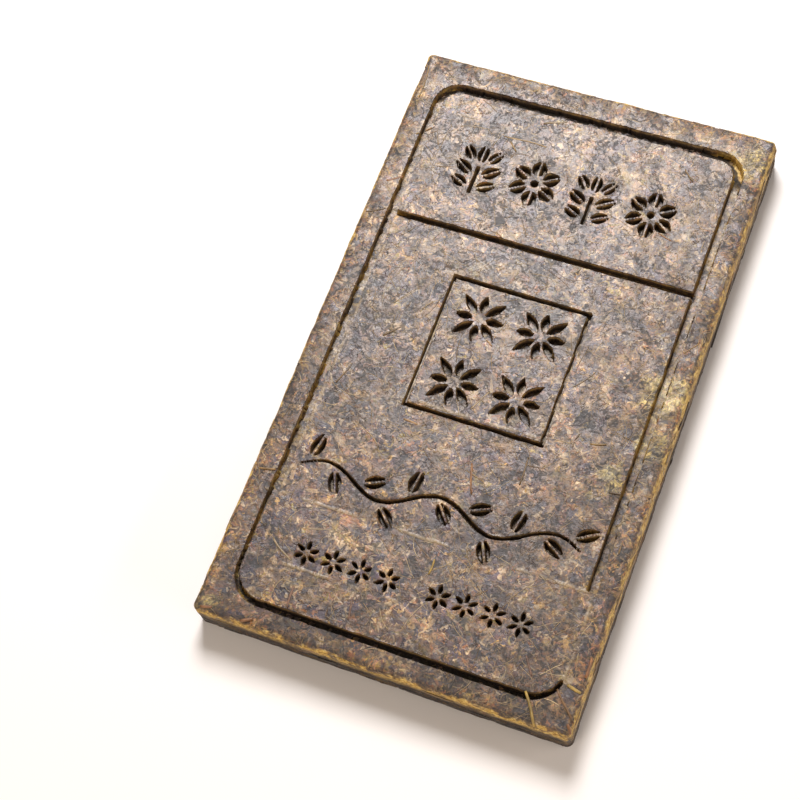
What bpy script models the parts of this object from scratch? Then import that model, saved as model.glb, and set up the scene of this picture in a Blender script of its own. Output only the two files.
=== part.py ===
"""A flat brick of pressed dark tea.

The face is up: a frame line with rounded corners, a cross line, a square and carved leaf ornaments.
The reverse is down: grooves with sloping walls part it into forty blocks that break off by hand.
The origin is under the middle of the brick. X runs across it, Y along it, and Z up.
"""

import math

import bmesh
import bpy
from mathutils import Matrix, Vector

MM = 0.001

# The brick, in millimetres
WIDTH = 170.0
LENGTH = 290.0
THICKNESS = 20.0
CORNER_RADIUS = 3.0
FACE_EDGE_RADIUS = 2.4
REVERSE_EDGE_RADIUS = 0.5

# The reverse: equal blocks, with grooves that slope down from their tops
COLUMNS = 5
ROWS = 8
GROOVE_DEPTH = 7.2
GROOVE_MOUTH = 15.6
GROOVE_FLOOR = 3.3
GROOVE_END_RIM = 0.8

# The carving of the face
CARVING_DEPTH = 4.2
OVERCUT = 1.0
ARC_STEPS = 6

# The frame line, by its outer edge
FRAME_LEFT = -73.8
FRAME_RIGHT = 75.9
FRAME_TOP = 132.5
FRAME_BOTTOM = -135.4
FRAME_LINE = 4.6
FRAME_TOP_RADIUS = 12.5
FRAME_BOTTOM_RADIUS = 15.5
# Down its right side the line stops for a stretch; from there down it is narrower, and most so at its end
GAP_TOP = -84.0
GAP_BOTTOM = -123.0
NARROW_LINE = 2.0
BOTTOM_LINE = 3.2
END_LINE = 1.5

# The cross line under the top panel
CROSS_LINE_Y = 59.4
CROSS_LINE = 3.2

# The square in the middle; its upright sides are shallower and a little further out than its other lines' ends
SQUARE_LEFT = -32.4
SQUARE_RIGHT = 32.9
SQUARE_TOP = 37.8
SQUARE_BOTTOM = -29.4
SQUARE_LINE = 2.2
SQUARE_SIDE_LINE = 2.0
SQUARE_SIDE_OUT = 0.2
SQUARE_SIDE_DEPTH = 2.7

# Leaf ornaments
RIB = 1.0
SPRAY_STEM = 1.9
TOP_ROW_Y = 92.0
TOP_ROW_X = (-41.0, -13.5, 14.0, 42.0)
SQUARE_STARS_X = (-14.2, 14.7)
SQUARE_STARS_Y = (20.0, -12.2)
SMALL_ROW_Y = -106.5
SMALL_ROW_X = (-46.8, -34.3, -21.8, -9.3, 13.5, 25.8, 38.1, 50.4)

# The vine across the lower part
VINE_Y = -69.5
VINE_LEFT = -66.0
VINE_RIGHT = 65.0
VINE_SWING = 5.0
VINE_WAVES = 2.5
VINE_STEM = 2.0
VINE_STEPS = 40
VINE_LEAVES = 11
VINE_LEAF = 13.0
VINE_LEAF_WIDTH = 6.2
VINE_LEAF_GAP = 2.1
VINE_LEAN = 0.75


def clear_scene():
    """Remove whatever the open file holds."""
    for leftover in list(bpy.data.objects):
        bpy.data.objects.remove(leftover, do_unlink=True)


def new_collection(name):
    """A collection of the scene."""
    collection = bpy.data.collections.new(name)
    bpy.context.scene.collection.children.link(collection)
    return collection


def pressed_leaf():
    """Dark pressed tea leaf with a dull sheen."""
    material = bpy.data.materials.new("pressed_leaf")
    material.use_nodes = True
    shader = material.node_tree.nodes["Principled BSDF"]
    shader.inputs["Base Color"].default_value = (0.115, 0.085, 0.065, 1.0)
    shader.inputs["Roughness"].default_value = 0.6
    shader.inputs["Metallic"].default_value = 0.0
    return material


def arc(centre, radius, start, end):
    """Points along an arc, its angles in degrees."""
    points = []
    for step in range(ARC_STEPS + 1):
        angle = math.radians(start + (end - start) * step / ARC_STEPS)
        points.append((centre[0] + radius * math.cos(angle), centre[1] + radius * math.sin(angle)))
    return points


def frame_path(wide, narrow, bottom, end):
    """An edge of the frame line, from the top of the gap round to its bottom.

    The four numbers say how far it is inside the line's outer edge: above the gap, down the left side below
    that, along the bottom, and at the line's end.
    """
    left = FRAME_LEFT + wide
    right = FRAME_RIGHT - wide
    top = FRAME_TOP - wide
    turn = FRAME_TOP_RADIUS - wide
    points = [(right, GAP_TOP)]
    points += arc((right - turn, top - turn), turn, 0, 90)
    points += arc((left + turn, top - turn), turn, 90, 180)
    if narrow < wide:
        points += [(left, GAP_TOP), (FRAME_LEFT + narrow, GAP_TOP)]
    left = FRAME_LEFT + narrow
    right = FRAME_RIGHT - end
    foot = FRAME_BOTTOM + bottom
    turn = FRAME_BOTTOM_RADIUS - (narrow + bottom) / 2
    points += arc((left + turn, foot + turn), turn, 180, 270)
    turn = FRAME_BOTTOM_RADIUS - (end + bottom) / 2
    stop = math.degrees(math.asin((GAP_BOTTOM - foot - turn) / turn))
    points += arc((right - turn, foot + turn), turn, 270, 360 + stop)
    return points


def rectangle(left, right, bottom, top):
    """The four corners of an upright rectangle."""
    return [(left, bottom), (right, bottom), (right, top), (left, top)]


def turned(points, angle, centre):
    """Points turned by an angle in radians about the origin, then moved to a centre."""
    cosine = math.cos(angle)
    sine = math.sin(angle)
    return [
        (centre[0] + x * cosine - y * sine, centre[1] + x * sine + y * cosine)
        for x, y in points
    ]


def half_width(along, width):
    """Half the width of a leaf at this share of its length, widest a little before its middle."""
    return 0.5 * width * math.sin(math.pi * along**0.85)


def plain_leaf(base, tip, width):
    """The outline of a leaf from its base to its tip."""
    steps = (0.25, 0.5, 0.75)
    length = math.dist(base, tip)
    right = [(length * s, -half_width(s, width)) for s in steps]
    left = [(length * s, half_width(s, width)) for s in reversed(steps)]
    angle = math.atan2(tip[1] - base[1], tip[0] - base[0])
    return turned([(0.0, 0.0)] + right + [(length, 0.0)] + left, angle, base)


def ribbed_leaf(base, tip, width):
    """The outlines of a leaf's two halves, with a standing rib between them."""
    steps = (0.2, 0.4, 0.6, 0.8)
    length = math.dist(base, tip)
    angle = math.atan2(tip[1] - base[1], tip[0] - base[0])
    halves = []
    for side in (-1, 1):
        rib = [(length * 0.95, side * RIB / 2), (length * 0.05, side * RIB / 2)]
        edge = [(length * s, side * max(half_width(s, width), RIB)) for s in steps]
        halves.append(turned(edge + rib, angle, base))
    return halves


def ring_of_leaves(centre, count, start, inner, outer, width, leaf):
    """Leaves that point outward all round a centre; the first one's angle is in degrees."""
    outlines = []
    for number in range(count):
        angle = math.radians(start + 360.0 * number / count)
        direction = Vector((math.cos(angle), math.sin(angle)))
        base = Vector(centre) + direction * inner
        tip = Vector(centre) + direction * outer
        outline = leaf(tuple(base), tuple(tip), width)
        outlines += outline if leaf is ribbed_leaf else [outline]
    return outlines


def spray(centre):
    """A sprig: a stem with three pairs of ribbed leaves and a bud."""
    x, y = centre
    outlines = [rectangle(x - SPRAY_STEM / 2, x + SPRAY_STEM / 2, y - 13.5, y + 1.0)]
    for side in (-1, 1):
        outlines += ribbed_leaf((x + side * 2.0, y - 10.5), (x + side * 11.5, y - 6.0), 5.6)
        outlines += ribbed_leaf((x + side * 2.0, y - 3.8), (x + side * 11.8, y + 2.6), 5.8)
        outlines += ribbed_leaf((x + side * 3.2, y + 3.4), (x + side * 9.6, y + 11.6), 5.0)
    outlines += ribbed_leaf((x, y + 2.6), (x, y + 13.6), 5.2)
    return outlines


def blossom(centre):
    """A flower with six ribbed petals round a button."""
    button = [arc(centre, 1.9, 0, 300)]
    return button + ring_of_leaves(centre, 6, 30, 3.4, 13.0, 7.2, ribbed_leaf)


def star(centre):
    """A flower with eight narrow petals, long ones towards the corners."""
    long_petals = ring_of_leaves(centre, 4, 45, 2.6, 14.2, 4.2, plain_leaf)
    short_petals = ring_of_leaves(centre, 4, 0, 2.9, 11.8, 4.0, plain_leaf)
    return long_petals + short_petals


def small_flower(centre):
    """A flower of the two short rows, with six narrow petals."""
    return ring_of_leaves(centre, 6, 30, 1.2, 6.2, 2.1, plain_leaf)


def vine_height(x):
    """The height of the vine's stem at a place across the brick."""
    share = (x - VINE_LEFT) / (VINE_RIGHT - VINE_LEFT)
    return VINE_Y + VINE_SWING * math.sin(2 * math.pi * VINE_WAVES * share)


def vine_frame(x):
    """The stem's point and unit normal at a place across the brick."""
    step = 0.01
    run = Vector((2 * step, vine_height(x + step) - vine_height(x - step))).normalized()
    return Vector((x, vine_height(x))), Vector((-run.y, run.x))


def vine_stem():
    """The outline of the waving stem, tapered to both ends."""
    upper = []
    lower = []
    for step in range(VINE_STEPS + 1):
        share = step / VINE_STEPS
        point, normal = vine_frame(VINE_LEFT + (VINE_RIGHT - VINE_LEFT) * share)
        reach = 0.5 * VINE_STEM * (0.25 + 0.75 * math.sin(math.pi * share) ** 0.4)
        upper.append(tuple(point + normal * reach))
        lower.append(tuple(point - normal * reach))
    return lower + upper[::-1]


def vine_leaves():
    """Ribbed leaves along the stem, by turns above and below it, all leaning the way it grows."""
    outlines = []
    for number in range(VINE_LEAVES):
        share = (number + 0.45) / VINE_LEAVES
        side = 1 if number % 2 == 0 else -1
        point, normal = vine_frame(VINE_LEFT + (VINE_RIGHT - VINE_LEFT) * share)
        run = Vector((normal.y, -normal.x))
        base = point + normal * side * VINE_LEAF_GAP
        tip = base + (run * VINE_LEAN + normal * side).normalized() * VINE_LEAF
        outlines += ribbed_leaf(tuple(base), tuple(tip), VINE_LEAF_WIDTH)
    return outlines


def ornament():
    """Every outline of the leaf ornaments, none of them touching another."""
    outlines = []
    for number, x in enumerate(TOP_ROW_X):
        motif = spray if number % 2 == 0 else blossom
        outlines += motif((x, TOP_ROW_Y))
    for x in SQUARE_STARS_X:
        for y in SQUARE_STARS_Y:
            outlines += star((x, y))
    for x in SMALL_ROW_X:
        outlines += small_flower((x, SMALL_ROW_Y))
    outlines.append(vine_stem())
    return outlines + vine_leaves()


def carving_cutter(name, outlines, collection, depth=CARVING_DEPTH):
    """A flat-bottomed cutter of these outlines, let down into the face."""
    curve = bpy.data.curves.new(name, "CURVE")
    curve.dimensions = "2D"
    curve.fill_mode = "BOTH"
    curve.extrude = (depth + OVERCUT) / 2 * MM
    for outline in outlines:
        spline = curve.splines.new("POLY")
        spline.points.add(len(outline) - 1)
        for point, (x, y) in zip(spline.points, outline):
            point.co = (x * MM, y * MM, 0.0, 1.0)
        spline.use_cyclic_u = True
    drawn = bpy.data.objects.new(name + "_drawn", curve)
    drawn.location.z = (THICKNESS + (OVERCUT - depth) / 2) * MM
    bpy.context.scene.collection.objects.link(drawn)
    bpy.context.view_layer.update()
    evaluated = drawn.evaluated_get(bpy.context.evaluated_depsgraph_get())
    mesh = bpy.data.meshes.new_from_object(evaluated)
    bm = bmesh.new()
    bm.from_mesh(mesh)
    bmesh.ops.remove_doubles(bm, verts=bm.verts, dist=1e-6)
    bmesh.ops.recalc_face_normals(bm, faces=bm.faces)
    bm.to_mesh(mesh)
    bm.free()
    cutter = bpy.data.objects.new(name, mesh)
    cutter.matrix_world = drawn.matrix_world.copy()
    bpy.data.objects.remove(drawn, do_unlink=True)
    mark_as_cutter(cutter, collection)


def groove_cutter(name, length, place, across, collection):
    """A long cutter for one groove of the reverse, its four walls sloping to a flat floor."""
    slope = (GROOVE_MOUTH - GROOVE_FLOOR) / 2 / GROOVE_DEPTH
    mouth = Vector((GROOVE_MOUTH / 2, length / 2)) + Vector((slope, slope)) * OVERCUT
    floor = Vector((GROOVE_FLOOR / 2, length / 2 - slope * GROOVE_DEPTH))
    mesh = bpy.data.meshes.new(name)
    bm = bmesh.new()
    bmesh.ops.create_cube(bm, size=2.0)
    for vertex in bm.verts:
        half = floor if vertex.co.z > 0 else mouth
        height = GROOVE_DEPTH if vertex.co.z > 0 else -OVERCUT
        vertex.co = Vector((vertex.co.x * half.x, vertex.co.y * half.y, height)) * MM
    bm.to_mesh(mesh)
    bm.free()
    cutter = bpy.data.objects.new(name, mesh)
    if across:
        cutter.rotation_euler.z = math.pi / 2
        cutter.location.y = place * MM
    else:
        cutter.location.x = place * MM
    mark_as_cutter(cutter, collection)


def mark_as_cutter(cutter, collection):
    """Keep a cutter out of the model and of renders."""
    cutter.display_type = "WIRE"
    cutter.hide_render = True
    collection.objects.link(cutter)


def reverse_cutters(collection):
    """The grooves between the columns and between the rows."""
    column = WIDTH / COLUMNS
    for number in range(1, COLUMNS):
        place = -WIDTH / 2 + number * column
        groove_cutter(f"groove_along_{number}", LENGTH - 2 * GROOVE_END_RIM, place, False, collection)
    row = LENGTH / ROWS
    for number in range(1, ROWS):
        place = -LENGTH / 2 + number * row
        groove_cutter(f"groove_across_{number}", WIDTH - 2 * GROOVE_END_RIM, place, True, collection)


def face_cutters(collection):
    """The frame line, the cross line, the square and the leaf ornaments."""
    outer_edge = frame_path(0.0, 0.0, 0.0, 0.0)
    inner_edge = frame_path(FRAME_LINE, NARROW_LINE, BOTTOM_LINE, END_LINE)
    carving_cutter("frame_line", [outer_edge + inner_edge[::-1]], collection)
    half = CROSS_LINE / 2
    middle = FRAME_LINE / 2
    cross = rectangle(FRAME_LEFT + middle, FRAME_RIGHT - middle, CROSS_LINE_Y - half, CROSS_LINE_Y + half)
    carving_cutter("cross_line", [cross], collection)
    level = [
        rectangle(SQUARE_LEFT, SQUARE_RIGHT, SQUARE_TOP - SQUARE_LINE, SQUARE_TOP),
        rectangle(SQUARE_LEFT, SQUARE_RIGHT, SQUARE_BOTTOM, SQUARE_BOTTOM + SQUARE_LINE),
    ]
    carving_cutter("square_top_and_bottom", level, collection)
    middle = SQUARE_LINE / 2
    left = SQUARE_LEFT - SQUARE_SIDE_OUT
    right = SQUARE_RIGHT + SQUARE_SIDE_OUT
    upright = [
        rectangle(left, left + SQUARE_SIDE_LINE, SQUARE_BOTTOM + middle, SQUARE_TOP - middle),
        rectangle(right - SQUARE_SIDE_LINE, right, SQUARE_BOTTOM + middle, SQUARE_TOP - middle),
    ]
    carving_cutter("square_sides", upright, collection, SQUARE_SIDE_DEPTH)
    carving_cutter("leaf_ornament", ornament(), collection)


def slab(name, collection):
    """The plain slab with rounded corners and edges."""
    mesh = bpy.data.meshes.new(name)
    bm = bmesh.new()
    size = Matrix.Diagonal((WIDTH * MM, LENGTH * MM, THICKNESS * MM, 1.0))
    bmesh.ops.create_cube(bm, size=1.0, matrix=Matrix.Translation((0, 0, THICKNESS * MM / 2)) @ size)
    upright = [edge for edge in bm.edges if abs(edge.verts[0].co.z - edge.verts[1].co.z) > MM]
    bmesh.ops.bevel(bm, geom=upright, offset=CORNER_RADIUS * MM, segments=4, profile=0.5, affect="EDGES")
    for height, radius, steps in ((THICKNESS, FACE_EDGE_RADIUS, 3), (0.0, REVERSE_EDGE_RADIUS, 1)):
        rim = [
            edge
            for edge in bm.edges
            if all(abs(vertex.co.z - height * MM) < 1e-6 for vertex in edge.verts)
        ]
        bmesh.ops.bevel(bm, geom=rim, offset=radius * MM, segments=steps, profile=0.5, affect="EDGES")
    bmesh.ops.recalc_face_normals(bm, faces=bm.faces)
    bm.to_mesh(mesh)
    bm.free()
    body = bpy.data.objects.new(name, mesh)
    collection.objects.link(body)
    return body


def carve(body, cutters):
    """Take the cutters out of the slab."""
    for cutter in cutters.objects:
        cut = body.modifiers.new(cutter.name, "BOOLEAN")
        cut.operation = "DIFFERENCE"
        cut.solver = "EXACT"
        cut.object = cutter


def main():
    clear_scene()
    parts = new_collection("pressed_tea_brick")
    cutters = new_collection("cutters")
    reverse_cutters(cutters)
    face_cutters(cutters)
    body = slab("tea_brick", parts)
    body.data.materials.append(pressed_leaf())
    carve(body, cutters)


main()
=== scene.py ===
"""The finish of a flat brick of pressed dark tea: a body with carved relief, and on it thousands of flat
leaves, fibres and stalks, all pressed into its surface."""

import functools
import itertools
import math
import bpy
import numpy as np
from mathutils import Matrix, Vector


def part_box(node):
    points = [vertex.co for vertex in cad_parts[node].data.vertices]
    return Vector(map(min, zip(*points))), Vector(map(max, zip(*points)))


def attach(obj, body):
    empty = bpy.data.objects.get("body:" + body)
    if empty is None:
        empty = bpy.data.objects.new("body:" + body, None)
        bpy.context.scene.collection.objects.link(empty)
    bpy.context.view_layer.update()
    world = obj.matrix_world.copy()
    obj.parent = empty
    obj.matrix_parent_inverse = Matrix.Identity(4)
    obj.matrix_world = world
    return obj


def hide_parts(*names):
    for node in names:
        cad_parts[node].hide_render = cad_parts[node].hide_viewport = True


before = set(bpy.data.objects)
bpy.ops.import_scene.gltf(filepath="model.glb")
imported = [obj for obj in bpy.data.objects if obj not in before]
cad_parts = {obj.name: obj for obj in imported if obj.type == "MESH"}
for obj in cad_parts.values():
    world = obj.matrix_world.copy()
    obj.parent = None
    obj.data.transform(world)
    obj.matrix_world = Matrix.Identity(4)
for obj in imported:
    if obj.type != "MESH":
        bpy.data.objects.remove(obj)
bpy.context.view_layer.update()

MM = 0.001
NODE = "tea_brick"
lowest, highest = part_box(NODE)

# The brick, in millimetres, as the frame has it
WIDTH = (highest.x - lowest.x) / MM
LENGTH = (highest.y - lowest.y) / MM
THICKNESS = (highest.z - lowest.z) / MM
CORNER_RADIUS = 3.0
FACE_EDGE = 2.4
REVERSE_EDGE = 0.5

# The reverse: equal blocks between sloping grooves
COLUMNS = 5
ROWS = 8
GROOVE_DEPTH = 7.2
GROOVE_MOUTH = 15.6
GROOVE_FLOOR = 3.3
GROOVE_END_RIM = 0.8
GROOVE_SLOPE = (GROOVE_MOUTH - GROOVE_FLOOR) / 2 / GROOVE_DEPTH

# The carving of the face
CARVING_DEPTH = 4.2
WALL_RUN = 0.45
CARVING_TRIM = -0.1
FRAME_LEFT = -73.8
FRAME_RIGHT = 75.9
FRAME_TOP = 132.5
FRAME_BOTTOM = -135.4
FRAME_LINE = 4.6
FRAME_TOP_RADIUS = 12.5
FRAME_BOTTOM_RADIUS = 15.5
GAP_TOP = -84.0
GAP_BOTTOM = -123.0
NARROW_LINE = 2.0
BOTTOM_LINE = 3.2
END_LINE = 1.5
CROSS_LINE_Y = 59.4
CROSS_LINE = 3.2
SQUARE_LEFT = -32.4
SQUARE_RIGHT = 32.9
SQUARE_TOP = 37.8
SQUARE_BOTTOM = -29.4
SQUARE_LINE = 2.2
SQUARE_SIDE_LINE = 2.0
SQUARE_SIDE_OUT = 0.2
SQUARE_SIDE_DEPTH = 2.7
SQUARE_SIDE_REACH = 0.5

# Leaf ornaments. A sprig's leaves, for one side: base, tip and width
RIB = 1.0
SPRIG_STEM = 1.9
SPRIG_FOOT = -13.5
SPRIG_NECK = 1.0
SPRIG_LEAVES = (
    ((2.0, -10.5), (11.5, -6.0), 5.6),
    ((2.0, -3.8), (11.8, 2.6), 5.8),
    ((3.2, 3.4), (9.6, 11.6), 5.0),
)
SPRIG_BUD = (2.6, 13.6, 5.2)
# Rings of petals: how many, the first one's angle in degrees, inner and outer radius, and width
BLOSSOM_PETALS = (6, 30, 3.4, 13.0, 7.2)
BLOSSOM_BUTTON = 1.9
STAR_LONG_PETALS = (4, 45, 2.6, 14.2, 4.2)
STAR_SHORT_PETALS = (4, 0, 2.9, 11.8, 4.0)
SMALL_PETALS = (6, 30, 1.2, 6.2, 2.1)
TOP_ROW_Y = 92.0
TOP_ROW_X = (-41.0, -13.5, 14.0, 42.0)
STARS_X = (-14.2, 14.7)
STARS_Y = (20.0, -12.2)
SMALL_ROW_Y = -106.5
SMALL_ROW_X = (-46.8, -34.3, -21.8, -9.3, 13.5, 25.8, 38.1, 50.4)
VINE_Y = -69.5
VINE_LEFT = -66.0
VINE_RIGHT = 65.0
VINE_SWING = 5.0
VINE_WAVES = 2.5
VINE_STEM = 2.0
VINE_STEPS = 60
VINE_LEAVES = 11
VINE_LEAF = 13.0
VINE_LEAF_WIDTH = 6.2
VINE_LEAF_GAP = 2.1
VINE_LEAN = 0.75

# The body's mesh
GRID_STEP = 1.4
FINE_REACH = 1.2
SNAP_REACH = 0.26 * GRID_STEP
PLAIN_EDGE = 3.0
SIDE_STEP = 1.1
REVERSE_LIFT = 0.3
LOWEST_POINT = 0.05
CREASE = math.radians(38)
FAR = 1e3
# How far the wear of the edges reaches: on the face, on the reverse, and off the middle of the sides
FACE_RIM = 2.6
REVERSE_RIM = 2.0
SIDE_MIDDLE = 9
SIDE_PLAIN = 4
PATCH_FLATNESS = 0.45
PATCH_ALONG = 0.55
PATCH_ACROSS = 1.6
CARVED_CALM = 0.6
# Patches and lumps: size in millimetres (one number or three), height and seed of each layer
PATCHES = ((7.5, 0.06, 50), (3.4, 0.03, 150))
RAGGED_EDGES = (((3.1, 0.14, 1), (1.0, 0.07, 3)), ((3.1, 0.14, 2), (1.0, 0.07, 4)))
FACE_SWELL = ((38.0, 0.22, 11), (13.0, 0.12, 12))
FLOOR_SWELL = ((9.0, 0.3, 13),)
SIDE_LAYERS = (((9.0, 9.0, 1.0), 0.3, 71), ((3.0, 3.0, 0.7), 0.18, 72))
EDGE_WEAR = ((4.0, 0.22, 73), (1.6, 0.132, 74))
EDGE_LOSS = 0.15
FINE_LUMPS = ((1.3, 0.03, 75),)

# Leaves and strands on the surface
OFF_EDGE = 0.35
SIDE_SINK = 0.25
GROUND_SPREAD = 0.15
UP = np.array([0.0, 0.0, 1.0])
DOWN = np.array([0.0, 0.0, -1.0])
LEAF_SIDES = 11
LEAF_RAGGED = 0.28
LEAF_CREASE = math.radians(35)
LEAF_LEAST = 1.2
LEAF_LEAST_SHARE = 0.05
LEAF_STAND_OFF = 0.35
SLOPE_REACH = 0.3
# How much a leaf tilts along and across it; how many lifts its level varies by, and which lie two higher
LEAF_TILT = ((0.008,), (0.03,))
LEAF_LEVELS = 1.6
HIGH_LEAVES = 0.97
# A leaf's middle, edge and lower edge: share of its radius and depth
LEAF_RINGS = ((0.0, 0.0), (1.0, 0.0), (0.97, 0.45))
# How much lengths and widths vary
LEAF_SPREAD = (0.35, 0.3)
STRAND_SPREAD = (0.4, 0.25)
STRAND_CHECKS = 25
STRAND_STEPS = 8
STRAND_LEAST = 1.5
# A hop this much longer than an even one, and this much more in millimetres, breaks a strand
STRAND_STRETCH = 2.2
STRAND_SLACK = 0.12
SWAY_LENGTH = 3.0
# From and to: the level of a strand's ends over half its width, and the share of its rise
STRAND_ENDS = (-0.25, 0.8)
STRAND_HUMP = (0.2, 1.0)
TINT_SPREAD = 50
# How strands lie: bend and sway of their way, how far the middle rises, and their height over width
STIFF = {"bend": 0.012, "sway": 0.05, "rise": 0.15}
LITHE = {"bend": 0.04, "sway": 0.15, "rise": 0.06, "height": 0.3}
LAID = {"bend": 0.012, "sway": 0.1, "rise": -0.1, "sides": 7}
# Tones of the laid stalks: brown, orange, gold, pale and pink
BROWN, ORANGE, GOLD, PALE, PINK = (0.1, 0.3, 0.5, 0.7, 0.9)
# The larger stalks and splinters that lie on the face: from, to, width and tone
LAID_STALKS = (
    ((61.4, -131.8), (69.7, -145.0), 1.3, GOLD),
    ((73.4, -126.7), (84.6, -142.6), 1.1, BROWN),
    ((82.3, -139.4), (84.6, -142.8), 1.5, ORANGE),
    ((56.9, -117.9), (61.6, -125.1), 1.0, PINK),
    ((76.9, -124.2), (83.2, -125.1), 1.5, GOLD),
    ((82.7, -109.8), (84.0, -118.7), 1.3, ORANGE),
    ((-79.8, 73.2), (-72.9, 77.5), 1.2, ORANGE),
    ((-57.1, 110.6), (-43.7, 114.6), 0.7, PALE),
    ((-20.2, 122.9), (-10.1, 127.6), 0.8, PALE),
    ((-63.4, -104.4), (-53.0, -112.3), 1.0, PALE),
    ((-46.3, -121.8), (-45.3, -131.2), 1.0, PINK),
    ((-20.6, -119.0), (-18.6, -127.6), 1.0, PINK),
    ((6.5, -91.2), (6.5, -98.2), 0.9, GOLD),
    ((-52.1, -96.3), (-37.6, -91.4), 0.8, PALE),
    ((-2.9, -22.5), (3.0, -13.1), 0.8, PALE),
    ((-81.5, -143.2), (-76.5, -141.6), 1.6, ORANGE),
    ((-62.5, -143.6), (-57.5, -141.0), 1.6, ORANGE),
)
# Olive leaves: middle, length, width and angle in degrees
OLIVE_LEAVES = (
    ((72.3, 11.8), 9.0, 4.5, 20.0),
    ((78.5, 5.0), 10.0, 4.0, 70.0),
    ((68.0, -1.0), 7.0, 3.5, 110.0),
    ((71.5, 130.6), 8.0, 4.0, 150.0),
    ((-80.0, -139.5), 9.0, 5.0, 100.0),
    ((-76.0, -142.0), 8.0, 3.5, 10.0),
)
# The chance number that makes a leaf olive
OLIVE = 0.87
OLIVE_LIFT = 0.1

# What a leaf's own chance number makes of its colour
LEAF_COLOURS = (
    (0.00, (0.085, 0.038, 0.018)),
    (0.17, (0.130, 0.067, 0.034)),
    (0.31, (0.048, 0.019, 0.008)),
    (0.46, (0.060, 0.032, 0.048)),
    (0.60, (0.014, 0.009, 0.026)),
    (0.69, (0.036, 0.014, 0.005)),
    (0.79, (0.240, 0.125, 0.040)),
    (0.86, (0.160, 0.104, 0.010)),
    (0.90, (0.360, 0.235, 0.100)),
    (0.95, (0.230, 0.072, 0.018)),
    (0.97, (0.010, 0.006, 0.007)),
)
# Stains that run over many leaves: slate, grey-brown, brown, tan, rust and olive
STAIN_COLOURS = (
    (0.38, (0.009, 0.005, 0.020)),
    (0.46, (0.036, 0.019, 0.034)),
    (0.51, (0.070, 0.036, 0.020)),
    (0.57, (0.210, 0.128, 0.052)),
    (0.61, (0.160, 0.066, 0.022)),
    (0.66, (0.200, 0.145, 0.022)),
)
SPLINTER_COLOURS = (
    (0.00, (0.420, 0.310, 0.180)),
    (0.30, (0.400, 0.235, 0.060)),
    (0.42, (0.230, 0.135, 0.060)),
    (0.72, (0.300, 0.145, 0.075)),
    (0.84, (0.260, 0.095, 0.025)),
    (0.92, (0.220, 0.160, 0.020)),
)
# The tanned border: dark violet-brown, brown, tan, gold and orange
TAN_COLOURS = (
    (0.00, (0.020, 0.009, 0.006)),
    (0.38, (0.110, 0.044, 0.010)),
    (0.64, (0.210, 0.105, 0.016)),
    (0.80, (0.380, 0.240, 0.036)),
    (0.91, (0.340, 0.110, 0.012)),
)
OLIVE_COLOURS = (
    (0.00, (0.060, 0.034, 0.012)),
    (0.25, (0.190, 0.130, 0.022)),
    (0.50, (0.360, 0.280, 0.060)),
    (0.80, (0.560, 0.450, 0.160)),
)
GOLD_COLOURS = (
    (0.30, (0.090, 0.040, 0.009)),
    (0.42, (0.330, 0.175, 0.028)),
    (0.54, (0.680, 0.450, 0.095)),
    (0.66, (0.840, 0.640, 0.240)),
)
# Painted highlights: bright gold for the walls' lips, as if lit
LIP_COLOURS = (
    (0.34, (0.120, 0.050, 0.010)),
    (0.45, (0.520, 0.280, 0.040)),
    (0.56, (0.880, 0.600, 0.110)),
    (0.70, (0.950, 0.780, 0.300)),
)
# Near-black painted shade for the cut walls, the reverse's slopes and the lower sides
WALL_SHADE_COLOURS = (
    (0.36, (0.003, 0.001, 0.001)),
    (0.52, (0.018, 0.007, 0.003)),
    (0.68, (0.120, 0.052, 0.012)),
)
FIBRE_COLOURS = (
    (0.0, (0.140, 0.080, 0.035)),
    (0.2, (0.280, 0.185, 0.085)),
    (0.7, (0.420, 0.300, 0.150)),
    (1.0, (0.600, 0.470, 0.270)),
)
STALK_COLOURS = (
    (0.0, (0.060, 0.034, 0.015)),
    (0.4, (0.150, 0.090, 0.028)),
    (0.7, (0.260, 0.160, 0.045)),
    (0.9, (0.260, 0.105, 0.028)),
    (1.0, (0.360, 0.250, 0.110)),
)
LAID_COLOURS = (
    (0.0, (0.150, 0.074, 0.020)),
    (0.2, (0.250, 0.100, 0.022)),
    (0.4, (0.400, 0.260, 0.050)),
    (0.6, (0.300, 0.220, 0.120)),
    (0.8, (0.170, 0.090, 0.055)),
)
FIBRE_TONE = (0.34, 0.25, 0.13)
FLOOR_TONE = (0.9, 0.9, 0.9, 1.0)

# Layers of the leaf mosaic: size, turn, stretch and seed
LARGE_LEAVES = (7.5, 0.4, 2.6, 3.0)
OTHER_LEAVES = (5.5, 1.9, 2.8, 17.0)
SMALL_LEAVES = (3.0, 1.1, 2.6, 31.0)
# Layers of splinters: size, turn and seed
SPLINTERS = ((1.9, 0.6, 131.0), (1.3, 2.2, 157.0))
# Layers of fibres: size of their curves, width and seed
FIBRE_LINES = ((13.0, 0.14, 5.0), (9.0, 0.1, 71.0))
# The corner of the frame line whose wall is painted golden as if lit, and where no leaf lies on its floor
PAINTED_LIT_CORNER = (70.0, 127.0, 18.0)
BARE_CORNER = (60.0, 117.0)
# Where the leaves are a yellow olive: middle and reach
OLIVE_SPOTS = (
    ((74.0, 10.0), 13.0),
    ((78.0, -14.0), 9.0),
    ((78.0, 132.0), 10.0),
    ((-82.5, -141.5), 6.0),
    ((66.0, -34.0), 6.0),
)
# Faint raised lines that joints of the mould left on the face: from and to
MOULD_LINES = (
    ((-69.0, -84.0), (75.0, -84.0)),
    ((-68.5, -84.0), (-68.5, 57.0)),
    ((75.0, -123.0), (75.0, -84.0)),
    ((-73.0, -114.0), (-1.0, -114.0)),
    ((-30.0, -25.8), (30.0, -25.8)),
)

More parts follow.
